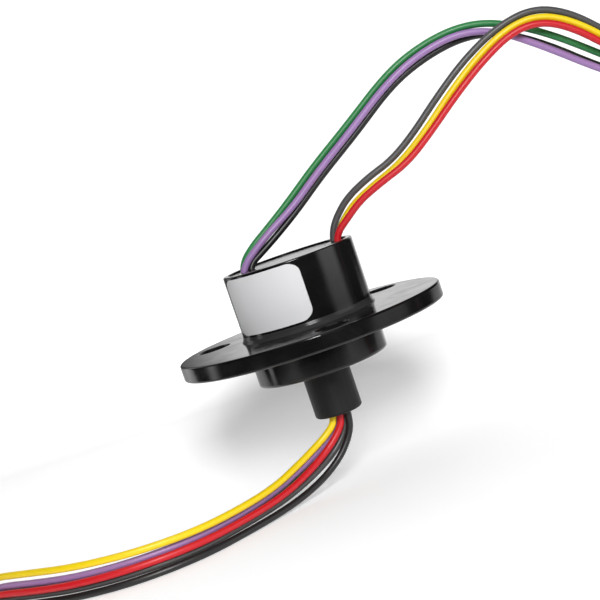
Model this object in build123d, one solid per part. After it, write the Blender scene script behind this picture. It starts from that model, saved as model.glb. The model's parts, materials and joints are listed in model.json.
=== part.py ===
from build123d import *
import math
import os

# A flanged capsule slip ring with six circuits, in millimetres.
# The rotation axis is Z. The origin lies on it, in the flange's face on the body's side.
# The stator's leads leave the top end, the rotor's leads leave the stub at the bottom.

# Flange, body tube and hub
flange_d = 44.5
flange_t = 2.7
flange_edge_r = 0.35
body_d = 22.0
tube_length = 11.2
tube_wall = 1.1
tube_edge_r = 0.3
hub_length = 5.1
hub_edge_r = 0.5
hub_floor_t = 0.8
hub_shelf_t = 0.1
spigot_length = 1.5
spigot_wall = 0.55
spigot_gap = 0.02

# Bolt holes, placed across the flange's free width
bolt_count = 3
bolt_circle_share = 0.57778
bolt_hole_share = 0.24
first_bolt_deg = 40.7
bolt_chamfer = 0.2

# End cap, seated on a ledge in the tube
cap_depth = 0.3
cap_t = 1.5
cap_rim_t = 0.5
cap_groove = 0.3
cap_fit = 0.05
cap_edge_r = 0.15
ledge_t = 1.0
ledge_w = 0.7
roof_t = 0.9
journal_room = 0.5
seat_lip = 0.5
boss_wall = 1.2

# Lead exits through the cap, as shares of the body's diameter
exit_slot_w_share = 0.123
exit_slot_l_share = 0.191
left_exit_x_share = 0.3114
left_exit_y_share = 0.0045
right_exit_x_share = 0.3659
right_exit_y_share = 0.0227

# Bead of adhesive round the seam between the tube and the flange
seam_foot = 0.45
seam_height = 1.05
seam_neck = 0.12

# Nameplate, left bare
label_t = 0.08
label_start_deg = 194.5
label_end_deg = 276.0
label_low_share = 0.125
label_high_share = 0.96
label_corner_r = 1.7

# Rotor
stub_d = 7.97
stub_length = 8.0
stub_edge_r = 0.5
stub_bore_d = 5.2
bore_chamfer = 0.25
potting_depth = 0.5
floor_gap = 0.2
collar_wall = 0.9
collar_t = 0.6
core_d = 5.2
core_bore_d = 3.6
core_bore_end = 0.6

# Slip rings and the insulating spacers between them
ring_count = 6
ring_wall = 1.0
groove_share = 0.4
spacer_share = 0.4
spacer_proud = 0.33
stack_fit = 0.01

# Brushes: a pair of spring wires in each ring's groove, on two upright boards
brush_share = 0.21
brush_gap = 0.05
brush_past = 1.4
board_t = 0.8
board_width_share = 0.41
board_sink = 0.8
board_clear = 0.35
board_fit = 0.05

# Ball bearings: bore, outside, width and number of balls
lower_bore_d = 7.0
lower_outside_d = 11.0
lower_width = 2.5
lower_balls = 9
upper_bore_d = 3.0
upper_outside_d = 7.0
upper_width = 2.0
upper_balls = 8
ball_share = 0.62
race_fit = 0.01
ball_gap = 0.02
race_rim_r = 0.12
cage_share = 0.15
cage_pocket_gap = 0.04
cage_rim = 0.1
race_gap_share = 0.38

# Shim, sleeve and snap ring that hold the bearings
shim_t = 0.2
shim_w = 0.6
sleeve_length = 0.9
sleeve_wall = 0.7
snap_t = 0.3
snap_w = 0.6
snap_groove = 0.2
snap_gap_deg = 30.0
snap_fit = 0.01

# Leads and the coils that their spare length is wound into
lead_d = 1.15
bend_share = 0.45
lead_pitch = 1.25
coil_mean_r = 14.0
coil_columns = 3
entry_rows = 2
entry_length = 6.0
climb_deg = 281.0
low_lead_z = -26.4
tie_t = 0.35
tie_w = 2.6
tie_head_l = 3.6
tie_head_w = 2.2
tie_head_t = 1.3
overrun = 1.0

# Places that follow from the sizes above
flange_r = flange_d / 2
body_r = body_d / 2
tube_bore_r = body_r - tube_wall
spigot_r = tube_bore_r + spigot_wall
bolt_circle_r = body_r + (flange_r - body_r) * bolt_circle_share
bolt_hole_r = (flange_r - body_r) * bolt_hole_share
hub_low = -flange_t - hub_length
stub_low = hub_low - stub_length
stub_r = stub_d / 2
stub_bore_r = stub_bore_d / 2
potting_low = stub_low + potting_depth
cap_top = tube_length - cap_depth
cap_low = cap_top - cap_t
cap_seat_r = tube_bore_r + cap_fit + cap_groove / 2
lower_bore_r = lower_bore_d / 2
lower_outside_r = lower_outside_d / 2
upper_bore_r = upper_bore_d / 2
upper_outside_r = upper_outside_d / 2
collar_r = lower_bore_r + collar_wall
shim_low = hub_low + hub_floor_t
lower_bearing_low = shim_low + shim_t
collar_low = lower_bearing_low + lower_width
hub_shelf = collar_low + hub_shelf_t
stack_low = collar_low + collar_t
journal_high = cap_top - roof_t - journal_room
snap_low = journal_high - 2 * snap_t
upper_bearing_high = snap_low - snap_fit
upper_bearing_low = upper_bearing_high - upper_width
stack_high = upper_bearing_low - sleeve_length
ring_pitch = (stack_high - stack_low) / (ring_count + spacer_share)
spacer_w = ring_pitch * spacer_share
ring_w = ring_pitch - spacer_w
core_r = core_d / 2
ring_r = core_r + ring_wall
spacer_r = ring_r + spacer_proud
groove_depth = ring_wall * groove_share
groove_half_w = ring_w / 3
brush_r = (ring_pitch - ring_w) * brush_share * 4 / 3
board_half_w = body_r * board_width_share
board_outer_x = math.sqrt((tube_bore_r - ledge_w) ** 2 - board_half_w**2) - board_clear / 2
board_x = board_outer_x - board_t
board_top = cap_low - ledge_t - ledge_w - board_clear / 2

# Coils: each one's centre and the direction in which its leads enter it
# and how far round the leads run and where the tie sits, both counted from the entry
rotor_coil_centre = (-88.0, -4.2)
rotor_entry_heading = (-0.8, 0.6)
rotor_turning_deg = 607.0
rotor_tie_deg = 150.0
stator_coil_centre = (132.0, 5.6)
stator_entry_heading = (0.8, -0.6)
stator_turning_deg = 412.0
stator_tie_deg = 28.0

# Routes of the leads, from each exit to its coil
stator_routes = {
    "green": [
        (-7.5, 0.8, 10.9), (-7.5, 0.8, 12.9), (-5.4, 0.9, 14.5), (-1.6, 1.1, 16.7), (3.4, 1.4, 19.9),
        (8.6, 1.7, 23.6), (16.2, 1.7, 28.3), (25.3, 1.7, 34.6), (32.2, 1.6, 37.0), (38.5, 1.4, 37.7),
        (44.0, 1.4, 36.6), (51.0, 1.3, 32.5), (59.1, 1.5, 26.0), (69.0, 2.8, 17.4), (79.2, 3.3, 7.4),
        (89.6, 4.2, -3.1), (100.2, 5.2, -13.8), (108.4, 5.4, -22.5), (113.15, 3.8, -26.4),
        (119.55, -1.0, -26.4),
    ],
    "black": [
        (-6.2, 0.1, 10.9), (-6.2, 0.1, 12.7), (-3.9, 0.55, 13.8), (0.2, 1.0, 15.2), (4.8, 1.6, 17.9),
        (10.0, 1.7, 21.5), (17.6, 1.7, 26.2), (25.6, 1.7, 31.8), (32.6, 1.9, 34.5), (39.4, 2.1, 35.4),
        (45.3, 2.2, 34.2), (51.5, 2.2, 30.1), (58.2, 2.1, 24.2), (68.6, 1.6, 16.6), (79.2, 2.05, 7.2),
        (89.6, 2.9, -3.2), (100.2, 3.9, -13.9), (108.0, 4.2, -22.6), (112.4, 2.8, -26.4),
        (118.8, -2.0, -26.4),
    ],
    "violet": [
        (-7.45, -0.6, 10.9), (-7.45, -0.6, 12.7), (-5.4, -0.5, 14.2), (-1.3, -0.2, 15.9),
        (3.4, 0.4, 18.4), (8.8, 0.7, 22.3), (16.4, 0.7, 27.2), (24.7, 0.7, 32.8), (31.6, 0.7, 35.6),
        (38.4, 0.7, 36.5), (44.2, 0.7, 34.7), (50.6, 0.7, 29.9), (57.8, 0.7, 23.8), (68.2, 0.3, 16.1),
        (79.0, 0.8, 7.0), (89.4, 1.6, -3.4), (100.0, 2.6, -14.0), (107.6, 3.0, -22.7),
        (111.65, 1.8, -26.4), (118.05, -3.0, -26.4),
    ],
    "grey": [
        (8.0, 0.55, 10.9), (8.0, 0.55, 12.6), (9.5, 0.6, 14.7), (12.4, 0.3, 17.1), (16.6, -0.2, 19.1),
        (21.0, -0.4, 20.5), (25.6, -0.5, 23.4), (31.4, -0.6, 28.0), (37.4, -0.6, 32.2),
        (44.0, -0.6, 35.4), (50.2, -0.6, 36.4), (55.6, -0.6, 34.0), (60.9, -0.4, 28.8),
        (70.6, 0.5, 19.2), (80.8, 2.0, 9.3), (91.0, 3.6, -1.4), (101.5, 5.0, -12.4),
        (109.4, 5.4, -21.5), (113.8, 3.3, -25.15), (119.55, -1.0, -25.15),
    ],
    "yellow": [
        (8.5, 1.75, 10.9), (8.5, 1.75, 12.5), (10.4, 1.5, 14.2), (13.4, 0.9, 16.1), (17.6, 0.3, 17.9),
        (22.2, -0.5, 19.6), (27.4, -1.05, 23.0), (33.4, -1.1, 27.8), (39.4, -1.2, 31.9),
        (45.2, -1.15, 34.6), (50.3, -1.15, 35.1), (55.4, -1.15, 32.7), (60.6, -1.2, 27.6),
        (70.2, -0.7, 18.7), (80.6, 0.75, 8.9), (90.8, 2.3, -1.6), (101.3, 3.7, -12.5),
        (109.0, 4.2, -21.6), (113.05, 2.3, -25.15), (118.8, -2.0, -25.15),
    ],
    "red": [
        (8.6, -0.6, 10.9), (8.6, -0.6, 12.4), (10.9, -0.8, 14.2), (14.2, -1.1, 16.2), (18.6, -1.6, 17.7),
        (23.4, -1.9, 19.3), (28.4, -1.95, 22.6), (34.4, -1.95, 27.1), (40.4, -1.95, 31.0),
        (46.0, -1.95, 33.6), (50.8, -1.95, 33.6), (55.3, -1.95, 31.0), (60.3, -1.95, 26.1),
        (70.0, -1.9, 18.2), (80.4, -0.5, 8.7), (90.6, 1.0, -1.8), (101.1, 2.4, -12.6),
        (108.6, 3.0, -21.7), (112.3, 1.3, -25.15), (118.05, -3.0, -25.15),
    ],
}
rotor_routes = {
    "yellow": [
        (-1.25, -1.0, -15.3), (-1.25, -1.0, -16.9), (-3.2, -1.2, -18.5), (-5.8, -2.05, -19.85),
        (-9.0, -4.2, -21.15), (-13.4, -7.9, -22.6), (-18.8, -13.1, -23.0), (-26.4, -19.4, -23.0),
        (-36.4, -21.6, -22.8), (-46.2, -19.3, -22.6), (-54.2, -13.9, -22.4), (-60.85, -8.35, -22.3),
        (-65.0, -3.2, -23.8), (-70.05, 1.4, -25.15), (-74.05, 4.4, -25.15),
    ],
    "violet": [
        (-0.62, 0.1, -15.3), (-0.62, 0.1, -17.0), (-2.3, 0.0, -18.8), (-5.0, -0.85, -20.55),
        (-8.8, -3.15, -21.95), (-13.5, -6.9, -23.4), (-19.2, -12.3, -23.9), (-26.8, -18.6, -23.9),
        (-36.4, -20.7, -23.8), (-45.85, -18.45, -23.7), (-53.7, -13.15, -23.6), (-60.35, -7.65, -23.5),
        (-64.6, -2.6, -24.9), (-70.05, 1.4, -26.4), (-74.05, 4.4, -26.4),
    ],
    "red": [
        (0.0, -1.0, -15.3), (0.0, -1.0, -17.0), (-1.5, -1.2, -19.0), (-4.1, -2.0, -21.0),
        (-7.6, -4.0, -22.8), (-12.4, -7.6, -24.4), (-18.6, -13.0, -24.9), (-26.4, -19.4, -24.9),
        (-36.4, -21.6, -24.8), (-46.2, -19.3, -24.8), (-54.2, -13.9, -24.8), (-60.85, -8.35, -24.7),
        (-65.9, -4.35, -25.2), (-70.8, 0.4, -25.15), (-74.8, 3.4, -25.15),
    ],
    "green": [
        (0.0, 1.25, -15.3), (0.0, 1.25, -17.2), (-1.6, 1.25, -19.3), (-4.7, 0.2, -21.3),
        (-8.6, -2.35, -22.95), (-13.5, -6.1, -24.45), (-19.75, -11.6, -24.9), (-27.2, -17.8, -24.9),
        (-36.4, -19.8, -24.8), (-45.5, -17.65, -24.8), (-53.1, -12.45, -24.7), (-59.8, -6.95, -24.6),
        (-65.15, -3.35, -26.4), (-70.8, 0.4, -26.4), (-74.8, 3.4, -26.4),
    ],
    "grey": [
        (0.62, 0.1, -15.3), (0.62, 0.1, -17.4), (-0.7, 0.0, -19.8), (-3.4, -0.8, -22.1),
        (-7.6, -3.1, -24.0), (-12.9, -6.9, -25.4), (-19.2, -12.3, -25.8), (-26.8, -18.6, -25.9),
        (-36.4, -20.7, -25.8), (-45.85, -18.45, -25.8), (-53.7, -13.15, -25.8), (-60.35, -7.65, -25.8),
        (-65.95, -4.45, -26.5), (-71.55, -0.6, -26.4), (-75.55, 2.4, -26.4),
    ],
    "black": [
        (1.25, -1.0, -15.3), (1.25, -1.0, -17.5), (0.1, -1.1, -20.1), (-2.5, -1.8, -22.9),
        (-6.6, -3.6, -25.2), (-12.0, -7.5, -26.5), (-18.6, -13.0, -26.8), (-26.4, -19.4, -26.8),
        (-36.4, -21.6, -26.8), (-46.2, -19.3, -26.8), (-54.2, -13.9, -26.8), (-60.85, -8.35, -26.8),
        (-67.25, -6.15, -26.0), (-71.55, -0.6, -25.15), (-75.55, 2.4, -25.15),
    ],
}


def disc(radius, low, high):
    """A round disc or rod about Z."""
    cylinder = Cylinder(radius, high - low, align=(Align.CENTER, Align.CENTER, Align.MIN))
    return Pos(0, 0, low) * cylinder


def sleeve(outer, inner, low, high):
    """A ring about Z."""
    return disc(outer, low, high) - disc(inner, low, high)


def turned(*points):
    """A turned solid about Z, from the corners of its half section as (radius, height)."""
    outline = Polyline(*points, close=True)
    return revolve(Plane.XZ * make_face(outline), Axis.Z)


def edges_at(solid, radius, height):
    """The circular edges about Z with this radius at this height."""
    close = body_r / 1000
    return [
        edge
        for edge in solid.edges().filter_by(GeomType.CIRCLE)
        if abs(edge.radius - radius) < close and abs(edge.center().Z - height) < close
    ]


def bolt_places():
    """Centres of the flange's holes on their circle."""
    step = 360 / bolt_count
    for i in range(bolt_count):
        angle = math.radians(first_bolt_deg + i * step)
        yield bolt_circle_r * math.cos(angle), bolt_circle_r * math.sin(angle)


def flanged_housing():
    """The moulded flange with its hub, the bearing seat and the slots for the boards."""
    solid = disc(flange_r, -flange_t, 0) + disc(body_r, hub_low, -flange_t)
    solid = fillet(edges_at(solid, flange_r, 0) + edges_at(solid, flange_r, -flange_t), flange_edge_r)
    solid = fillet(edges_at(solid, body_r, hub_low), hub_edge_r)
    solid -= disc(tube_bore_r, hub_shelf, overrun)
    solid -= disc(spigot_r + spigot_gap, -spigot_length - spigot_gap, overrun)
    solid -= disc(lower_outside_r + race_fit, shim_low, overrun)
    solid -= disc(lower_bore_r + floor_gap, hub_low - overrun, overrun)
    for x, y in bolt_places():
        solid -= Pos(x, y) * disc(bolt_hole_r, -flange_t - overrun, overrun)
    for x, y in bolt_places():
        rims = [
            edge
            for edge in solid.edges().filter_by(GeomType.CIRCLE)
            if abs(edge.radius - bolt_hole_r) < spigot_gap
            and math.hypot(edge.arc_center.X - x, edge.arc_center.Y - y) < bolt_hole_r
        ]
        solid = chamfer(rims, bolt_chamfer)
    for side in (-1, 1):
        slot = Box(board_t + 2 * board_fit, 2 * (board_half_w + board_fit), board_sink + overrun)
        middle = hub_shelf - board_sink - board_fit + (board_sink + overrun) / 2
        solid -= Pos(side * (board_x + board_t / 2), 0, middle) * slot
    return solid


def housing_tube():
    """The tube of the body, with a spigot below and a ledge for the cap above."""
    ledge_r = tube_bore_r - ledge_w
    solid = turned(
        (tube_bore_r, -spigot_length),
        (spigot_r, -spigot_length),
        (spigot_r, 0),
        (body_r, 0),
        (body_r, tube_length),
        (cap_seat_r, tube_length),
        (cap_seat_r, cap_low),
        (ledge_r, cap_low),
        (ledge_r, cap_low - ledge_t),
        (tube_bore_r, cap_low - ledge_t - ledge_w),
    )
    return fillet(edges_at(solid, body_r, tube_length), tube_edge_r)


def exit_slots():
    """The places of the two lead exits in the cap."""
    left = (-body_d * left_exit_x_share, body_d * left_exit_y_share)
    right = (body_d * right_exit_x_share, body_d * right_exit_y_share)
    return {"left": left, "right": right}


def exit_plug(side, low, high):
    """A plug of the exit slot's outline between two heights."""
    x, y = exit_slots()[side]
    outline = SlotOverall(body_d * exit_slot_l_share, body_d * exit_slot_w_share, rotation=90)
    return Pos(x, y, low) * extrude(outline, high - low)


def end_cap():
    """The recessed cap with the upper bearing's seat in its boss."""
    rim_r = cap_seat_r - cap_fit
    face_r = cap_seat_r - cap_groove
    bearing_r = upper_outside_r + race_fit
    solid = turned(
        (0, cap_top),
        (face_r, cap_top),
        (face_r, cap_low + cap_rim_t),
        (rim_r, cap_low + cap_rim_t),
        (rim_r, cap_low),
        (bearing_r + boss_wall, cap_low),
        (bearing_r + boss_wall, upper_bearing_low),
        (bearing_r, upper_bearing_low),
        (bearing_r, upper_bearing_high),
        (bearing_r - seat_lip, upper_bearing_high),
        (bearing_r - seat_lip, journal_high + journal_room),
        (0, journal_high + journal_room),
    )
    solid = fillet(edges_at(solid, face_r, cap_top), cap_edge_r)
    for side in exit_slots():
        solid -= exit_plug(side, cap_low - overrun, cap_top + overrun)
    return solid


def seam_adhesive():
    """The bead of adhesive in the corner between the tube and the flange."""
    return turned(
        (body_r, 0),
        (body_r + seam_foot, 0),
        (body_r + seam_neck, seam_height / 2),
        (body_r, seam_height),
    )


def label():
    """The thin plate that wraps round the front left of the tube."""
    middle_deg = (label_start_deg + label_end_deg) / 2
    half_turn = math.radians((label_end_deg - label_start_deg) / 2)
    label_low = tube_length * label_low_share
    label_high = tube_length * label_high_share
    height = label_high - label_low
    width = 2 * (body_r + label_t) * math.sin(half_turn)
    outline = RectangleRounded(height, width, label_corner_r)
    shell = sleeve(body_r + label_t, body_r, label_low, label_high)
    cutter = extrude(Plane.YZ * outline.rotate(Axis.Z, 90), body_d)
    middle = (label_low + label_high) / 2
    return Rot(0, 0, middle_deg) * (shell & (Pos(0, 0, middle) * cutter))


def rotor_shaft():
    """The hollow rotor: stub, journals, collar and ring core, with the snap ring's groove."""
    lower_r = lower_bore_r - race_fit
    upper_r = upper_bore_r - race_fit
    groove_r = upper_r - snap_groove
    solid = turned(
        (0, stub_low),
        (stub_r, stub_low),
        (stub_r, hub_low - floor_gap),
        (lower_r, hub_low - floor_gap),
        (lower_r, collar_low),
        (collar_r, collar_low),
        (collar_r, stack_low),
        (core_r, stack_low),
        (core_r, stack_high),
        (upper_r, stack_high),
        (upper_r, snap_low - snap_fit),
        (groove_r, snap_low - snap_fit),
        (groove_r, snap_low + snap_t + snap_fit),
        (upper_r, snap_low + snap_t + snap_fit),
        (upper_r, journal_high),
        (0, journal_high),
    )
    solid = fillet(edges_at(solid, stub_r, stub_low), stub_edge_r)
    solid -= disc(stub_bore_r, stub_low - overrun, collar_low)
    solid -= disc(core_bore_d / 2, stub_low, stack_high - core_bore_end)
    return chamfer(edges_at(solid, stub_bore_r, stub_low), bore_chamfer)


def rotor_potting():
    """The resin that fills the stub's bore round the leads."""
    return disc(stub_bore_r, potting_low, collar_low)


def slip_ring(low):
    """A ring with the groove that its brushes run in."""
    bore_r = core_r + stack_fit
    middle = low + ring_w / 2
    return turned(
        (bore_r, low),
        (ring_r, low),
        (ring_r, middle - groove_half_w),
        (ring_r - groove_depth, middle),
        (ring_r, middle + groove_half_w),
        (ring_r, low + ring_w),
        (bore_r, low + ring_w),
    )


def ring_spacer(low):
    """An insulating washer that stands proud between two rings."""
    return sleeve(spacer_r, core_r + stack_fit, low, low + spacer_w)


def brush_pair(index):
    """Two spring wires that straddle a ring, on the board of their side."""
    middle = stack_low + spacer_w + index * ring_pitch + ring_w / 2
    slope = math.atan2(groove_half_w, groove_depth)
    reach = ring_r - groove_depth + (brush_r + brush_gap) / math.sin(slope)
    length = board_x + brush_past
    side = 1 if index % 2 == 0 else -1
    wires = []
    for hand in (-1, 1):
        wire = Rot(0, -90 * side, 0) * disc(brush_r, 0, length)
        wires.append(Pos(side * board_x, hand * reach, middle) * wire)
    return Compound(children=wires)


def brush_board(side):
    """The upright board that carries the brush wires of one side."""
    low = hub_shelf - board_sink
    board = Box(board_t, 2 * board_half_w, board_top - low)
    return Pos(side * (board_x + board_t / 2), 0, (board_top + low) / 2) * board


class Bearing:
    """A ball bearing's sizes, from which its four pieces are made."""

    def __init__(self, bore_r, outside_r, width, balls, low):
        """Works out the ball circle and the two races' walls beside the balls."""
        span = outside_r - bore_r
        self.bore_r = bore_r
        self.outside_r = outside_r
        self.width = width
        self.balls = balls
        self.low = low
        self.middle = low + width / 2
        self.pitch_r = (bore_r + outside_r) / 2
        self.inner_wall = bore_r + span * race_gap_share
        self.outer_wall = outside_r - span * race_gap_share
        self.ball_r = span * ball_share / 2

    def race(self, outer):
        """One race, with the track that the balls run in."""
        rim_r = self.outside_r if outer else self.bore_r
        wide = self.outside_r if outer else self.inner_wall
        narrow = self.outer_wall if outer else self.bore_r
        high = self.low + self.width
        race = sleeve(wide, narrow, self.low, high)
        race = fillet(edges_at(race, rim_r, self.low) + edges_at(race, rim_r, high), race_rim_r)
        return race - Pos(0, 0, self.middle) * Torus(self.pitch_r, self.ball_r + ball_gap)

    def turned_places(self):
        """A turn about Z for each ball."""
        return [Rot(0, 0, 360 * i / self.balls) for i in range(self.balls)]

    def ball_set(self):
        """The balls on their circle."""
        ball = Pos(self.pitch_r, 0, self.middle) * Sphere(self.ball_r)
        return Compound(children=[turn * ball for turn in self.turned_places()])

    def cage(self):
        """The drilled ring that keeps the balls apart."""
        half_t = (self.outer_wall - self.inner_wall) * (1 - 2 * cage_share) / 2
        pocket_r = self.ball_r + cage_pocket_gap
        low = self.middle - pocket_r - cage_rim
        high = self.middle + pocket_r + cage_rim
        ring = sleeve(self.pitch_r + half_t, self.pitch_r - half_t, low, high)
        drill = Rot(0, 90, 0) * Cylinder(pocket_r, 2 * self.ball_r)
        for turn in self.turned_places():
            ring -= Pos(0, 0, self.middle) * turn * Pos(self.pitch_r, 0, 0) * drill
        return ring


def lower_shim():
    """The washer between the hub's floor and the lower bearing's outer race."""
    return sleeve(lower_outside_r, lower_outside_r - shim_w, shim_low, lower_bearing_low)


def bearing_sleeve():
    """The sleeve between the ring stack and the upper bearing's inner race."""
    return sleeve(upper_bore_r + sleeve_wall, upper_bore_r, stack_high, upper_bearing_low)


def snap_ring():
    """The open ring that holds the upper bearing on the journal."""
    inner = upper_bore_r - race_fit - snap_groove + snap_fit
    ring = sleeve(inner + snap_w, inner, snap_low, snap_low + snap_t)
    half_gap = inner * math.sin(math.radians(snap_gap_deg / 2))
    gap = Box(inner + snap_w, 2 * half_gap, snap_t + overrun)
    return ring - Pos((inner + snap_w) / 2, 0, snap_low + snap_t / 2) * gap


def bend_radii(points):
    """The radius of the arc at each corner of a lead's route."""
    corners = [Vector(*point) for point in points]
    radii = []
    for before, corner, after in zip(corners, corners[1:], corners[2:]):
        arriving = corner - before
        leaving = after - corner
        half_turn = math.radians(arriving.get_angle(leaving)) / 2
        shorter = min(arriving.length, leaving.length)
        radii.append(bend_share * shorter / math.tan(half_turn))
    return radii


def lead(name, points):
    """One lead from its exit to its coil, as straight runs joined by arcs."""
    radii = bend_radii(points)
    path = FilletPolyline(*points, radius=radii)
    section = Plane(path @ 0, z_dir=path % 0) * Circle(lead_d / 2)
    tube = sweep(section, path)
    share = tube.volume / (math.pi * lead_d**2 / 4 * path.length)
    bends = " ".join(f"{radius:.1f}" for radius in radii)
    print(f"{name}: length {path.length:.1f}, volume share {share:.4f}, radii {bends}")
    return tube


def coil_frame(centre, heading):
    """A plane at a coil's centre, with X along the leads as they enter and Y away from the entry."""
    along = Vector(*heading, 0)
    origin = Vector(*centre, low_lead_z - lead_pitch / 2)
    return Plane(origin=origin, x_dir=along, z_dir=(0, 0, 1))


def coil_section(grow, low, high):
    """The section of the wound turns on the local X axis, grown by a margin."""
    width = coil_columns * lead_pitch + 2 * grow
    height = high - low + 2 * grow
    return Plane.XZ * (Pos(coil_mean_r, (low + high) / 2) * Rectangle(width, height))


def lead_coil(centre, heading, turning_deg):
    """The outer shape of a neat coil: a full turn, what lies on it, and the notch at the entry."""
    layer = entry_rows * lead_pitch
    width = coil_columns * lead_pitch
    first = revolve(coil_section(0, 0, layer), Axis.Z)
    second = revolve(coil_section(0, layer, 2 * layer), Axis.Z, revolution_arc=turning_deg - climb_deg)
    second = Rot(0, 0, climb_deg - 90) * second
    run = Box(entry_length, width, layer)
    entry = Pos(-entry_length / 2, -coil_mean_r, layer / 2) * run
    notch = Pos(-entry_length * 3 / 2, -coil_mean_r, layer / 2) * run
    return coil_frame(centre, heading) * (first + second - notch + entry)


def coil_tie(centre, heading, tie_deg):
    """The tie round the turns, with its head on top."""
    high = 2 * entry_rows * lead_pitch
    half_deg = math.degrees(tie_w / 2 / coil_mean_r)
    band = revolve(coil_section(tie_t, 0, high), Axis.Z, revolution_arc=2 * half_deg)
    band -= revolve(coil_section(0, 0, high), Axis.Z)
    band = Rot(0, 0, -half_deg) * band
    head = Pos(coil_mean_r, 0, high + tie_t + tie_head_t / 2) * Box(tie_head_w, tie_head_l, tie_head_t)
    head = fillet(head.edges().filter_by(Axis.Z), tie_t)
    return coil_frame(centre, heading) * Rot(0, 0, tie_deg - 90) * (band + head)


def build():
    """Every piece by name."""
    lower = Bearing(lower_bore_r, lower_outside_r, lower_width, lower_balls, lower_bearing_low)
    upper = Bearing(upper_bore_r, upper_outside_r, upper_width, upper_balls, upper_bearing_low)
    stator_coil = (stator_coil_centre, stator_entry_heading)
    rotor_coil = (rotor_coil_centre, rotor_entry_heading)
    parts = {
        "flanged_housing": flanged_housing(),
        "housing_tube": housing_tube(),
        "end_cap": end_cap(),
        "seam_adhesive": seam_adhesive(),
        "label": label(),
        "exit_potting_left": exit_plug("left", cap_low, cap_top),
        "exit_potting_right": exit_plug("right", cap_low, cap_top),
        "brush_board_left": brush_board(-1),
        "brush_board_right": brush_board(1),
        "rotor_shaft": rotor_shaft(),
        "rotor_potting": rotor_potting(),
        "lower_shim": lower_shim(),
        "bearing_sleeve": bearing_sleeve(),
        "snap_ring": snap_ring(),
        "stator_lead_coil": lead_coil(*stator_coil, stator_turning_deg),
        "stator_coil_tie": coil_tie(*stator_coil, stator_tie_deg),
        "rotor_lead_coil": lead_coil(*rotor_coil, rotor_turning_deg),
        "rotor_coil_tie": coil_tie(*rotor_coil, rotor_tie_deg),
    }
    for name, bearing in {"lower": lower, "upper": upper}.items():
        parts[f"{name}_bearing_outer_race"] = bearing.race(outer=True)
        parts[f"{name}_bearing_inner_race"] = bearing.race(outer=False)
        parts[f"{name}_bearing_balls"] = bearing.ball_set()
        parts[f"{name}_bearing_cage"] = bearing.cage()
    for i in range(ring_count):
        parts[f"slip_ring_{i + 1}"] = slip_ring(stack_low + spacer_w + i * ring_pitch)
        parts[f"brush_pair_{i + 1}"] = brush_pair(i)
    for i in range(ring_count + 1):
        parts[f"ring_spacer_{i + 1}"] = ring_spacer(stack_low + i * ring_pitch)
    for side, routes in {"stator": stator_routes, "rotor": rotor_routes}.items():
        for colour, points in routes.items():
            name = f"{side}_lead_{colour}"
            parts[name] = lead(name, points)
    return parts


os.makedirs("parts", exist_ok=True)
for node, shape in build().items():
    export_step(shape, f"parts/{node}.step")
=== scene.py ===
"""The slip ring's looks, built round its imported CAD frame. Lengths are in metres, and +Z is up."""

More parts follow.
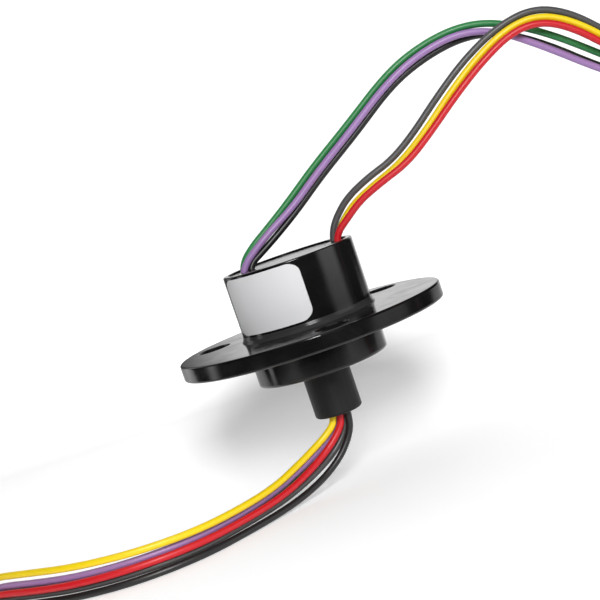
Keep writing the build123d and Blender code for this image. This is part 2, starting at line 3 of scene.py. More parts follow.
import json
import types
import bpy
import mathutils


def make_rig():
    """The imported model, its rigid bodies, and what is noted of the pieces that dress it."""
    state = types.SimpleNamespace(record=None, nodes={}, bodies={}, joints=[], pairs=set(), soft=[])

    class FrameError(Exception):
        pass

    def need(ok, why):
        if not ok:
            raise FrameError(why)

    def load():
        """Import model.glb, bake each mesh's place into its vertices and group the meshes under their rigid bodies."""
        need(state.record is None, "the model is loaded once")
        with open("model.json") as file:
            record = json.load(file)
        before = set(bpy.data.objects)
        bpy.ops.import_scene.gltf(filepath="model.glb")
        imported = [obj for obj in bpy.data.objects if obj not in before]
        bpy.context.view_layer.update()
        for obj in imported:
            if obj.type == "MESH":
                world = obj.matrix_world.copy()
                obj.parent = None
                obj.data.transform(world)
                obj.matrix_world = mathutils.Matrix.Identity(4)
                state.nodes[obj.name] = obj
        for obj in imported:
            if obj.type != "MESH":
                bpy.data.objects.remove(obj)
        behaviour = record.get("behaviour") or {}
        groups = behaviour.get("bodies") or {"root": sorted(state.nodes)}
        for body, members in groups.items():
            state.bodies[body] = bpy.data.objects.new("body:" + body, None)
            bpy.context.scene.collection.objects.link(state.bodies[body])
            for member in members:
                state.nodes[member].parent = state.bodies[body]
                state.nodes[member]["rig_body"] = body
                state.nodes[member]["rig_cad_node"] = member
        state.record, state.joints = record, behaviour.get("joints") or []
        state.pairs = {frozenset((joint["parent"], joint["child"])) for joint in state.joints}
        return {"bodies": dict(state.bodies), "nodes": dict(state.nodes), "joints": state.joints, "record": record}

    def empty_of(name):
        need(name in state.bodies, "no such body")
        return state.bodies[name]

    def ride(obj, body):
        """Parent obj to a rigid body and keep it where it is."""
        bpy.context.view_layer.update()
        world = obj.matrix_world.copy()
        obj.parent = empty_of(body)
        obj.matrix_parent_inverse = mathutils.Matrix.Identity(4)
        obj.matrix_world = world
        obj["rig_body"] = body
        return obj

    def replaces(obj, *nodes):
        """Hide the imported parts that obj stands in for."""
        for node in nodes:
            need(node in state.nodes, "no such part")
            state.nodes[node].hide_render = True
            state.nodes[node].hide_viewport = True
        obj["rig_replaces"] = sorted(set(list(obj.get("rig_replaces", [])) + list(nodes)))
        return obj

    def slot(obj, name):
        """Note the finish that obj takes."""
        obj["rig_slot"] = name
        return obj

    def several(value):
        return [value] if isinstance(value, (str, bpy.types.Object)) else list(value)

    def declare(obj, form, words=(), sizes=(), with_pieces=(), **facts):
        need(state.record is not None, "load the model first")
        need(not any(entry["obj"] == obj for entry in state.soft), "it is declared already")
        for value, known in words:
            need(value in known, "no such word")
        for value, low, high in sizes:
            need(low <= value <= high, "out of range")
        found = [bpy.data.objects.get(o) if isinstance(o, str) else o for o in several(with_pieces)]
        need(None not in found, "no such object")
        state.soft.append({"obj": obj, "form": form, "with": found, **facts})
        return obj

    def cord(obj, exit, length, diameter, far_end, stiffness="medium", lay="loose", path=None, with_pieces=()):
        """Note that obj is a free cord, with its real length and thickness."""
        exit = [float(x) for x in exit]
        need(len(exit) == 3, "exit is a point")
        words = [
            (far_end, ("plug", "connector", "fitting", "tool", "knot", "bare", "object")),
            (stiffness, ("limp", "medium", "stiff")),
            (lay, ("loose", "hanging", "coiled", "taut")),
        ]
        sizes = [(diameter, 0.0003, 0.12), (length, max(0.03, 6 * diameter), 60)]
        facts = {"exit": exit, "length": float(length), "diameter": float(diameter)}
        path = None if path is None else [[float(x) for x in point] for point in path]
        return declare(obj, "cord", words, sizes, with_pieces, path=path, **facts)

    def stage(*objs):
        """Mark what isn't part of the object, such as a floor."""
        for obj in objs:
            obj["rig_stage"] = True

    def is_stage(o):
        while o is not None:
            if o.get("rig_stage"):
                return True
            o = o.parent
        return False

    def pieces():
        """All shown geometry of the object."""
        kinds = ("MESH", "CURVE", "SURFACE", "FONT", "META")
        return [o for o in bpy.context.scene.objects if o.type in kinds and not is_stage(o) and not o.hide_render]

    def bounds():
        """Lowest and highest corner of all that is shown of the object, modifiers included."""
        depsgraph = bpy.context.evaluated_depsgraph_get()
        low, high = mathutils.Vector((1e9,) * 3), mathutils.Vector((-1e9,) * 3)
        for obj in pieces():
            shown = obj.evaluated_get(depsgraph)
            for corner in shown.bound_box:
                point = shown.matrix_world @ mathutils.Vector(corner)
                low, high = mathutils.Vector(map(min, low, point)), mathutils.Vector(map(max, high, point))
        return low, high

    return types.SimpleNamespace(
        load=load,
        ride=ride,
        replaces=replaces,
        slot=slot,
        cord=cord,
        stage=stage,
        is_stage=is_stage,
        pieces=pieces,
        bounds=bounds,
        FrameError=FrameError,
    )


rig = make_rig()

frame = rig.load()

import json
import logging
import math
from dataclasses import dataclass
from enum import Enum

import bmesh
import bpy
from mathutils import Matrix, Vector

log = logging.getLogger("slip_ring")

MM = 0.001
SIZE_FILE = "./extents.json"

WORN_SHARE = 0.6
WORN_LIFT = 0.25
SCATTER_SCALE = 0.4 * MM
WHITE = (1.0, 1.0, 1.0, 1.0)

Point = tuple[float, float, float]
Colour = tuple[float, float, float]


class Side(Enum):
    """The two ends that leads leave from, named for the body they ride on."""

    STATOR = "stator"
    ROTOR = "rotor"


class Jacket(Enum):
    """Jacket colours, as linear RGB."""

    GREEN = (0.024, 0.215, 0.058)
    VIOLET = (0.330, 0.190, 0.430)
    BLACK = (0.0120, 0.0118, 0.0120)
    GREY = (0.070, 0.069, 0.069)
    YELLOW = (0.860, 0.630, 0.003)
    RED = (0.580, 0.006, 0.014)


# Node groups: each gives a colour, a mask, a value or a normal, and no shader.


def new_group(name: str, inputs: dict[str, float], outputs: dict[str, str]) -> bpy.types.NodeTree:
    """Starts a shader node group.

    Args:
        name: The group's name.
        inputs: Float inputs and their defaults.
        outputs: Outputs and their socket types.

    Returns:
        The group, with its input and output nodes in place.
    """
    group = bpy.data.node_groups.new(name, "ShaderNodeTree")
    for label, value in inputs.items():
        socket = group.interface.new_socket(label, in_out="INPUT", socket_type="NodeSocketFloat")
        socket.default_value = value
    for label, kind in outputs.items():
        group.interface.new_socket(label, in_out="OUTPUT", socket_type=kind)
    group.nodes.new("NodeGroupInput")
    group.nodes.new("NodeGroupOutput")
    return group


def ends(group: bpy.types.NodeTree) -> tuple[bpy.types.Node, bpy.types.Node]:
    """The input and output nodes of a group."""
    return group.nodes["Group Input"], group.nodes["Group Output"]


def add_math(tree: bpy.types.NodeTree, operation: str) -> bpy.types.Node:
    """Adds a maths node.

    Args:
        tree: The tree that it goes into.
        operation: What it works out.

    Returns:
        The node.
    """
    made = tree.nodes.new("ShaderNodeMath")
    made.operation = operation
    return made


def add_range(
    tree: bpy.types.NodeTree,
    source: tuple[float, float] = (0.0, 1.0),
    result: tuple[float, float] = (0.0, 1.0),
    smooth: bool = False,
) -> bpy.types.Node:
    """Adds a node that maps one range of values onto another.

    Args:
        tree: The tree that it goes into.
        source: The range that comes in.
        result: The range that goes out.
        smooth: True for soft ends.

    Returns:
        The node.
    """
    made = tree.nodes.new("ShaderNodeMapRange")
    if smooth:
        made.interpolation_type = "SMOOTHSTEP"
    made.inputs["From Min"].default_value, made.inputs["From Max"].default_value = source
    made.inputs["To Min"].default_value, made.inputs["To Max"].default_value = result
    return made


def add_object(name: str, data: bpy.types.ID) -> bpy.types.Object:
    """Adds an object to the scene.

    Args:
        name: Its name.
        data: Its mesh, curve, light or camera.

    Returns:
        The object.
    """
    made = bpy.data.objects.new(name, data)
    bpy.context.scene.collection.objects.link(made)
    return made


def relief_group() -> bpy.types.NodeTree:
    """Fine moulding texture as a normal: broad waves and a fine grain, in object space."""
    group = new_group(
        "moulded_relief",
        {
            "Wave scale": 400.0,
            "Wave height": 0.00001,
            "Grain scale": 9000.0,
            "Grain height": 0.000002,
        },
        {"Normal": "NodeSocketVector"},
    )
    source, sink = ends(group)
    nodes, links = group.nodes, group.links
    place = nodes.new("ShaderNodeTexCoord")
    wave = nodes.new("ShaderNodeTexNoise")
    grain = nodes.new("ShaderNodeTexNoise")
    grain.inputs["Detail"].default_value = 3.0
    low = nodes.new("ShaderNodeBump")
    high = nodes.new("ShaderNodeBump")
    links.new(place.outputs["Object"], wave.inputs["Vector"])
    links.new(place.outputs["Object"], grain.inputs["Vector"])
    links.new(source.outputs["Wave scale"], wave.inputs["Scale"])
    links.new(source.outputs["Grain scale"], grain.inputs["Scale"])
    links.new(wave.outputs["Fac"], low.inputs["Height"])
    links.new(source.outputs["Wave height"], low.inputs["Distance"])
    links.new(grain.outputs["Fac"], high.inputs["Height"])
    links.new(source.outputs["Grain height"], high.inputs["Distance"])
    links.new(low.outputs["Normal"], high.inputs["Normal"])
    links.new(high.outputs["Normal"], sink.inputs["Normal"])
    return group


def handling_group() -> bpy.types.NodeTree:
    """Where a surface was handled: a soft mask of smudges and a sparse mask of dust specks."""
    group = new_group(
        "handling_marks",
        {"Smudge scale": 180.0, "Speck scale": 2600.0},
        {"Smudge": "NodeSocketFloat", "Speck": "NodeSocketFloat"},
    )
    source, sink = ends(group)
    nodes, links = group.nodes, group.links
    place = nodes.new("ShaderNodeTexCoord")
    smudge = nodes.new("ShaderNodeTexNoise")
    smudge.inputs["Detail"].default_value = 5.0
    smudge.inputs["Roughness"].default_value = 0.62
    speck = nodes.new("ShaderNodeTexVoronoi")
    wide = add_range(group, source=(0.42, 0.72))
    dot = add_range(group, source=(0.13, 0.05))
    links.new(place.outputs["Object"], smudge.inputs["Vector"])
    links.new(place.outputs["Object"], speck.inputs["Vector"])
    links.new(source.outputs["Smudge scale"], smudge.inputs["Scale"])
    links.new(source.outputs["Speck scale"], speck.inputs["Scale"])
    links.new(smudge.outputs["Fac"], wide.inputs["Value"])
    links.new(speck.outputs["Distance"], dot.inputs["Value"])
    links.new(wide.outputs["Result"], sink.inputs["Smudge"])
    links.new(dot.outputs["Result"], sink.inputs["Speck"])
    return group


def edge_group() -> bpy.types.NodeTree:
    """A mask of worn convex edges, from the surface's pointiness, broken up by noise."""
    group = new_group("edge_wear", {"Low": 0.505, "High": 0.56}, {"Mask": "NodeSocketFloat"})
    source, sink = ends(group)
    nodes, links = group.nodes, group.links
    shape = nodes.new("ShaderNodeNewGeometry")
    noise = nodes.new("ShaderNodeTexNoise")
    noise.inputs["Scale"].default_value = 900.0
    rim = add_range(group)
    both = add_math(group, "MULTIPLY")
    links.new(shape.outputs["Pointiness"], rim.inputs["Value"])
    links.new(source.outputs["Low"], rim.inputs["From Min"])
    links.new(source.outputs["High"], rim.inputs["From Max"])
    links.new(rim.outputs["Result"], both.inputs[0])
    links.new(noise.outputs["Fac"], both.inputs[1])
    links.new(both.outputs["Value"], sink.inputs["Mask"])
    return group


class Effects:
    """The shared node groups."""

    def __init__(self) -> None:
        """Builds every group once."""
        self.relief = relief_group()
        self.handling = handling_group()
        self.edges = edge_group()


@dataclass(frozen=True)
class Finish:
    """A surface with moulding texture, handling marks and worn edges.

    Attributes:
        name: The material's name.
        colour: Base colour, linear RGB.
        roughness: Base roughness.
        metallic: 1 for a metal.
        smudge: How much smudges add to the roughness.
        dust: How much dust specks lighten the colour.
        wear: How much worn edges lighten the colour.
        wave: Height of the broad relief, in metres.
        grain: Height of the fine relief, in metres.
        grain_scale: Scale of the fine relief.
        ior: Index of refraction.
        subsurface: Weight of light scattered under the surface.
    """

    name: str
    colour: Colour
    roughness: float = 0.3
    metallic: float = 0.0
    smudge: float = 0.1
    dust: float = 0.1
    wear: float = 0.2
    wave: float = 0.000004
    grain: float = 0.0000008
    grain_scale: float = 9000.0
    ior: float = 1.5
    subsurface: float = 0.0

    def build(self, effects: Effects) -> bpy.types.Material:
        """Makes the material.

        Args:
            effects: The shared node groups.

        Returns:
            The finished material.
        """
        material = bpy.data.materials.new(self.name)
        material.use_nodes = True
        tree = material.node_tree
        nodes, links = tree.nodes, tree.links
        shader = nodes["Principled BSDF"]
        shader.inputs["Metallic"].default_value = self.metallic
        shader.inputs["IOR"].default_value = self.ior
        shader.inputs["Subsurface Weight"].default_value = self.subsurface
        shader.inputs["Subsurface Scale"].default_value = SCATTER_SCALE
        relief = nodes.new("ShaderNodeGroup")
        relief.node_tree = effects.relief
        relief.inputs["Wave height"].default_value = self.wave
        relief.inputs["Grain height"].default_value = self.grain
        relief.inputs["Grain scale"].default_value = self.grain_scale
        marks = nodes.new("ShaderNodeGroup")
        marks.node_tree = effects.handling
        edges = nodes.new("ShaderNodeGroup")
        edges.node_tree = effects.edges
        rough = add_math(tree, "MULTIPLY_ADD")
        rough.inputs[1].default_value = self.smudge
        rough.inputs[2].default_value = self.roughness
        dust = add_math(tree, "MULTIPLY")
        dust.inputs[1].default_value = self.dust
        wear = add_math(tree, "MULTIPLY_ADD")
        wear.inputs[1].default_value = self.wear
        mix = nodes.new("ShaderNodeMix")
        mix.data_type = "RGBA"
        mix.inputs["A"].default_value = (*self.colour, 1.0)
        worn = [min(1.0, part * WORN_SHARE + WORN_LIFT) for part in self.colour]
        mix.inputs["B"].default_value = (*worn, 1.0)
        links.new(marks.outputs["Smudge"], rough.inputs[0])
        links.new(rough.outputs["Value"], shader.inputs["Roughness"])
        links.new(marks.outputs["Speck"], dust.inputs[0])
        links.new(edges.outputs["Mask"], wear.inputs[0])
        links.new(dust.outputs["Value"], wear.inputs[2])
        links.new(wear.outputs["Value"], mix.inputs["Factor"])
        links.new(mix.outputs["Result"], shader.inputs["Base Color"])
        links.new(relief.outputs["Normal"], shader.inputs["Normal"])
        return material


# Leads


@dataclass(frozen=True)
class LeadRoute:
    """One lead's route from its exit to the coil's entry.

    Attributes:
        side: The end that it leaves.
        jacket: Its colour.
        column: Its column in the coil, counted outwards from the middle one.
        upper: True in the upper row.
        points: The route's control points in millimetres.
        slack: Radians by which its turns in the coil differ from its side's.
    """

    side: Side
    jacket: Jacket
    column: int
    upper: bool
    points: tuple[Point, ...]
    slack: float = 0.0

    @property
    def name(self) -> str:
        """The lead's name, as in the CAD frame."""
        return f"{self.side.value}_lead_{self.jacket.name.lower()}"


STATOR_ROUTES = (
    LeadRoute(Side.STATOR, Jacket.GREEN, -1, False, (
        (-7.5, 0.8, 10.9), (-7.2, 0.8, 12.3), (-4.9, 0.85, 14.4), (-1.5, 1.1, 16.5),
        (3.4, 1.4, 19.7), (8.5, 1.7, 23.4), (16.1, 1.7, 28.2), (25.2, 1.7, 34.3),
        (32.1, 1.65, 36.75), (38.4, 1.5, 37.5), (44.0, 1.4, 36.4), (51.0, 1.3, 32.5),
        (59.1, 1.5, 26.0), (69.0, 2.8, 17.4), (79.2, 3.3, 7.4), (89.6, 4.2, -3.1),
        (100.2, 5.2, -13.8), (108.4, 5.4, -22.5), (113.15, 3.8, -26.4), (119.55, -1.0, -26.4),
    ), 0.05),
    LeadRoute(Side.STATOR, Jacket.BLACK, 0, False, (
        (-6.2, 0.1, 10.9), (-5.9, 0.2, 11.9), (-3.6, 0.6, 13.1), (-0.1, 1.1, 15.1),
        (4.4, 1.65, 17.95), (9.7, 1.7, 21.8), (17.2, 1.7, 26.55), (25.3, 1.75, 32.2),
        (32.5, 1.9, 34.8), (39.3, 2.1, 35.7), (45.3, 2.2, 34.2), (51.5, 2.2, 30.1),
        (58.2, 2.1, 24.2), (68.6, 1.6, 16.6), (79.2, 2.05, 7.2), (89.6, 2.9, -3.2),
        (100.2, 3.9, -13.9), (108.0, 4.2, -22.6), (112.4, 2.8, -26.4), (118.8, -2.0, -26.4),
    ), -0.12),
    LeadRoute(Side.STATOR, Jacket.VIOLET, 1, False, (
        (-7.45, -0.6, 10.9), (-7.0, -0.6, 12.0), (-4.4, -0.5, 13.9), (-1.3, -0.2, 15.9),
        (3.4, 0.4, 18.4), (8.8, 0.7, 22.3), (16.4, 0.7, 27.2), (24.7, 0.7, 32.8), (31.6, 0.7, 35.6),
        (38.4, 0.7, 36.5), (44.2, 0.7, 34.7), (50.6, 0.7, 29.9), (57.8, 0.7, 23.8),
        (68.2, 0.3, 16.1), (79.0, 0.8, 7.0), (89.4, 1.6, -3.4), (100.0, 2.6, -14.0),
        (107.6, 3.0, -22.7), (111.65, 1.8, -26.4), (118.05, -3.0, -26.4),
    ), -0.3),
    LeadRoute(Side.STATOR, Jacket.GREY, -1, True, (
        (8.0, 0.55, 10.9), (8.3, 0.55, 12.5), (9.8, 0.6, 14.7), (12.4, 0.3, 17.1),
        (16.6, -0.2, 19.1), (21.0, -0.4, 20.5), (25.6, -0.5, 23.4), (31.4, -0.6, 28.0),
        (37.4, -0.6, 32.2), (44.0, -0.6, 35.4), (50.2, -0.6, 36.4), (55.6, -0.6, 34.0),
        (60.9, -0.4, 28.8), (70.6, 0.5, 19.2), (80.8, 2.0, 9.3), (91.0, 3.6, -1.4),
        (101.5, 5.0, -12.4), (109.4, 5.4, -21.5), (113.8, 3.3, -25.15), (119.55, -1.0, -25.15),
    ), 0.22),
    LeadRoute(Side.STATOR, Jacket.YELLOW, 0, True, (
        (8.5, 1.75, 10.9), (9.3, 1.7, 12.1), (11.1, 1.5, 14.2), (13.8, 0.9, 16.2),
        (17.8, 0.3, 17.9), (22.2, -0.5, 19.6), (27.4, -1.05, 23.0), (33.4, -1.1, 27.8),
        (39.4, -1.2, 31.9), (45.2, -1.15, 34.6), (50.3, -1.15, 35.1), (55.4, -1.15, 32.7),
        (60.6, -1.2, 27.6), (70.2, -0.7, 18.7), (80.6, 0.75, 8.9), (90.8, 2.3, -1.6),
        (101.3, 3.7, -12.5), (109.0, 4.2, -21.6), (113.05, 2.3, -25.15), (118.8, -2.0, -25.15),
    ), 0.1),
    LeadRoute(Side.STATOR, Jacket.RED, 1, True, (
        (8.6, -0.6, 10.9), (8.9, -0.65, 12.1), (11.4, -0.85, 14.0), (14.3, -1.1, 16.1),
        (18.6, -1.6, 17.8), (23.3, -1.9, 19.4), (28.3, -1.95, 22.75), (34.3, -1.95, 27.3),
        (40.3, -1.95, 31.2), (45.9, -1.95, 33.85), (50.8, -1.95, 33.9), (55.4, -1.95, 31.2),
        (60.3, -1.95, 26.2), (70.0, -1.9, 18.2), (80.4, -0.5, 8.7), (90.6, 1.0, -1.8),
        (101.1, 2.4, -12.6), (108.6, 3.0, -21.7), (112.3, 1.3, -25.15), (118.05, -3.0, -25.15),
    ), 0.0),
)

ROTOR_ROUTES = (
    LeadRoute(Side.ROTOR, Jacket.YELLOW, 1, True, (
        (-1.25, -1.0, -15.3), (-1.25, -1.0, -16.9), (-3.2, -1.2, -18.5), (-5.8, -2.05, -19.85),
        (-9.0, -4.2, -21.15), (-13.4, -7.9, -22.55), (-18.8, -13.1, -22.95), (-26.4, -19.4, -22.85),
        (-36.4, -21.6, -22.5), (-46.2, -19.3, -22.1), (-54.2, -13.9, -21.8), (-60.85, -8.35, -21.8),
        (-65.0, -3.2, -23.5), (-70.05, 1.4, -25.15), (-74.05, 4.4, -25.15),
    ), -0.25),
    LeadRoute(Side.ROTOR, Jacket.VIOLET, 1, False, (
        (-0.62, 0.1, -15.3), (-0.62, 0.1, -17.0), (-2.3, 0.0, -18.8), (-5.0, -0.85, -20.6),
        (-8.8, -3.1, -22.05), (-13.6, -6.8, -23.55), (-19.35, -12.1, -24.1),
        (-27.0, -18.35, -24.15), (-36.4, -20.4, -24.05), (-45.7, -18.2, -24.0),
        (-53.5, -12.95, -23.9), (-60.2, -7.5, -23.75), (-64.6, -2.6, -25.0), (-70.05, 1.4, -26.4),
        (-74.05, 4.4, -26.4),
    ), -0.4),
    LeadRoute(Side.ROTOR, Jacket.RED, 0, True, (
        (0.0, -1.0, -15.3), (0.0, -1.0, -17.0), (-1.5, -1.2, -19.0), (-4.1, -2.0, -21.0),
        (-7.6, -4.0, -22.8), (-12.4, -7.6, -24.4), (-18.6, -13.0, -24.9), (-26.4, -19.4, -24.9),
        (-36.4, -21.6, -24.8), (-46.2, -19.3, -24.8), (-54.2, -13.9, -24.8), (-60.85, -8.35, -24.7),
        (-65.9, -4.35, -25.2), (-70.8, 0.4, -25.15), (-74.8, 3.4, -25.15),
    ), -0.1),
    LeadRoute(Side.ROTOR, Jacket.GREEN, 0, False, (
        (0.0, 1.25, -15.3), (0.0, 1.25, -17.2), (-1.6, 1.25, -19.3), (-4.7, 0.25, -21.35),
        (-8.7, -2.2, -23.0), (-13.7, -5.85, -24.5), (-19.95, -11.3, -25.0), (-27.4, -17.4, -25.0),
        (-36.4, -19.4, -24.95), (-45.3, -17.3, -24.95), (-52.9, -12.15, -24.85),
        (-59.6, -6.75, -24.75), (-65.15, -3.35, -26.4), (-70.8, 0.4, -26.4), (-74.8, 3.4, -26.4),
    ), 0.0),
    LeadRoute(Side.ROTOR, Jacket.GREY, -1, False, (
        (0.62, 0.1, -15.3), (0.62, 0.1, -17.4), (-0.7, 0.0, -19.8), (-3.4, -0.8, -22.1),
        (-7.6, -3.1, -24.0), (-12.9, -6.9, -25.4), (-19.2, -12.3, -25.8), (-26.8, -18.6, -25.9),
        (-36.4, -20.7, -25.8), (-45.85, -18.45, -25.8), (-53.7, -13.15, -25.8),
        (-60.35, -7.65, -25.8), (-65.95, -4.45, -26.5), (-71.55, -0.6, -26.4), (-75.55, 2.4, -26.4),
    ), 0.05),
    LeadRoute(Side.ROTOR, Jacket.BLACK, -1, True, (
        (1.25, -1.0, -15.3), (1.25, -1.0, -17.5), (0.1, -1.1, -20.1), (-2.5, -1.8, -22.9),
        (-6.6, -3.6, -25.2), (-12.0, -7.5, -26.5), (-18.6, -13.0, -26.8), (-26.4, -19.4, -26.8),
        (-36.4, -21.6, -26.8), (-46.2, -19.3, -26.8), (-54.2, -13.9, -26.8), (-60.85, -8.35, -26.8),
        (-67.25, -6.15, -26.0), (-71.55, -0.6, -25.15), (-75.55, 2.4, -25.15),
    ), 0.12),
)


@dataclass(frozen=True)
class CoilLayout:
    """Where and how one side's spare length is wound, in millimetres and radians.

    Attributes:
        centre: Its centre on the floor.
        heading: The direction in which the leads enter it.
        turning: How far the leads run round it.
        mean_radius: Radius of the middle column.
        pitch: Distance between columns and between rows.
        low: Height of the lowest lead's line.
        climb_from: Angle in each turn where the leads start to climb two rows.
        climb_to: Angle in each turn where they have climbed.
        step: Angle between two control points.
    """

    centre: tuple[float, float]
    heading: tuple[float, float]
    turning: float
    mean_radius: float = 14.0
    pitch: float = 1.25
    low: float = -26.4
    climb_from: float = 4.9
    climb_to: float = 6.1
    step: float = math.radians(15.0)

    def height(self, angle: float, upper: bool) -> float:
        """Height of a lead's line at an angle along its turns.

        Args:
            angle: Angle from the entry, through all turns.
            upper: True for a lead in the upper row.

        Returns:
            The height in millimetres.
        """
        turn, rest = divmod(angle, 2 * math.pi)
        share = min(1.0, max(0.0, (rest - self.climb_from) / (self.climb_to - self.climb_from)))
        smooth = share * share * (3 - 2 * share)
        return self.low + self.pitch * (2 * (turn + smooth) + (1 if upper else 0))

    def turns(self, column: int, upper: bool, slack: float) -> list[Point]:
        """Control points of a lead from its entry to its end.

        Args:
            column: The lead's column, counted outwards from the middle one.
            upper: True for a lead in the upper row.
            slack: Radians added to the coil's own turning.

        Returns:
            Points in millimetres.
        """
        radius = self.mean_radius + column * self.pitch
        outer = 2 * radius / (1 + math.cos(self.step / 2))
        start = math.atan2(-self.heading[0], self.heading[1])
        count = round((self.turning + slack) / self.step)
        points = []
        for i in range(count + 1):
            angle = (i + 0.5) * self.step
            x = self.centre[0] + outer * math.cos(start + angle)
            y = self.centre[1] + outer * math.sin(start + angle)
            points.append((x, y, self.height(angle, upper)))
        return points


class Lead:
    """One lead: a jacket that follows its route and turns, and the tinned strands at its end."""

    diameter = 1.15 * MM
    declared = 250.0 * MM
    strand_diameter = 0.62 * MM
    strand_length = 4.5 * MM
    strand_overlap_share = 0.1
    strand_twist = 2.2
    strand_sides = 8
    strand_steps = 14
    strands = 7
    curve_order = 3
    curve_resolution = 12
    bevel_resolution = 5

    def __init__(self, route: LeadRoute, coil: CoilLayout) -> None:
        """Keeps the lead's route and coil.

        Args:
            route: Its route from the exit.
            coil: The coil that it ends in.
        """
        self.route = route
        self.coil = coil

    def points(self) -> list[Vector]:
        """Every control point of the lead's line, in metres."""
        wound = self.coil.turns(self.route.column, self.route.upper, self.route.slack)
        return [Vector(point) * MM for point in (*self.route.points, *wound)]

    def line(self, name: str) -> bpy.types.Object:
        """Makes a smooth curve along the lead's line.

        Args:
            name: The curve's name.

        Returns:
            The curve, as thick as the jacket.
        """
        points = self.points()
        curve = bpy.data.curves.new(name, "CURVE")
        curve.dimensions = "3D"
        curve.resolution_u = self.curve_resolution
        spline = curve.splines.new("NURBS")
        spline.points.add(len(points) - 1)
        for slot, point in zip(spline.points, points):
            slot.co = (*point, 1.0)
        spline.order_u = self.curve_order
        spline.use_endpoint_u = True
        curve.bevel_depth = self.diameter / 2
        curve.bevel_resolution = self.bevel_resolution
        curve.use_fill_caps = True
        return add_object(name, curve)

    def tip(self, material: bpy.types.Material) -> bpy.types.Object:
        """Makes the stripped end: twisted tinned strands that go on along the lead's end.

        Args:
            material: The tin.

        Returns:
            The strands, one in the middle and the others round it.
        """
        points = self.points()
        end, before = points[-1], points[-2]
        along = (end - before).normalized()
        mesh = bpy.data.meshes.new(f"{self.route.name}_strands")
        shape = bmesh.new()
        strand_r = self.strand_diameter / 6
        for i in range(self.strands):
            ring_r = 0.0 if i == 0 else strand_r * 2
            phase = 2 * math.pi * i / (self.strands - 1)
            self.add_strand(shape, ring_r, phase, strand_r)
        turn = along.to_track_quat("Z", "Y").to_matrix().to_4x4()
        shape.transform(Matrix.Translation(end) @ turn)
        shape.to_mesh(mesh)
        shape.free()
        mesh.materials.append(material)
        mesh.shade_smooth()
        return add_object(mesh.name, mesh)

    def add_strand(
        self, shape: bmesh.types.BMesh, ring_r: float, phase: float, strand_r: float
    ) -> None:
        """Adds one helical strand along +Z.

        Args:
            shape: The mesh to add to.
            ring_r: Radius of the helix.
            phase: Its start angle.
            strand_r: The strand's own radius.
        """
        sides, steps = self.strand_sides, self.strand_steps
        rings = []
        for step in range(steps + 1):
            share = step / steps
            angle = phase + share * self.strand_twist
            height = (share - self.strand_overlap_share) * self.strand_length
            middle = Vector((ring_r * math.cos(angle), ring_r * math.sin(angle), height))
            ring = []
            for side in range(sides):
                a = 2 * math.pi * side / sides
                out = Vector((math.cos(a), math.sin(a), 0))
                ring.append(shape.verts.new(middle + out * strand_r))
            rings.append(ring)
        for low, high in zip(rings, rings[1:]):
            for side in range(sides):
                after = (side + 1) % sides
                shape.faces.new((low[side], low[after], high[after], high[side]))
        shape.faces.new(reversed(rings[0]))
        shape.faces.new(rings[-1])

    def build(self, jacket: bpy.types.Material, tin: bpy.types.Material) -> None:
        """Args:
            jacket: The jacket's material.
            tin: The tinned strands' material.
        """
        name = self.route.name
        side = self.route.side.value
        line = self.line(f"{name}_jacket")
        line.data.materials.append(jacket)
        strands = self.tip(tin)
        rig.ride(line, side)
        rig.ride(strands, side)
        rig.replaces(line, name, f"{side}_lead_coil")
        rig.slot(line, f"jacket_{self.route.jacket.name.lower()}")
        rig.cord(
            line,
            exit=self.points()[0],
            length=self.declared,
            diameter=self.diameter,
            far_end="bare",
            stiffness="limp",
            lay="coiled",
            with_pieces=[strands],
        )
        real = line.data.splines[0].calc_length()
        log.info("%s: %.1f mm long", line.name, real / MM)


COILS = {
    Side.STATOR: CoilLayout((132.0, 5.6), (0.8, -0.6), turning=7.0),
    Side.ROTOR: CoilLayout((-88.0, -4.2), (-0.8, 0.6), turning=10.6),
}


class Harness:
    """All leads of both sides."""

    def __init__(self, effects: Effects) -> None:
        """Makes the jackets' and the tin's materials.

        Args:
            effects: The shared node groups.
        """
        self.jackets = {
            jacket: Finish(
                f"jacket_{jacket.name.lower()}",
                jacket.value,
                roughness=0.36,
                smudge=0.12,
                dust=0.02,
                wear=0.0,
                wave=0.000006,
                grain=0.0000006,
                subsurface=0.06,
            ).build(effects)
            for jacket in Jacket
        }
        tin = Finish("tinned_strands", (0.72, 0.71, 0.69), roughness=0.28, metallic=1.0)
        self.tin = tin.build(effects)

    def build(self) -> None:
        """Makes every lead."""
        for route in (*STATOR_ROUTES, *ROTOR_ROUTES):
            Lead(route, COILS[route.side]).build(self.jackets[route.jacket], self.tin)


# Camera, light and floor


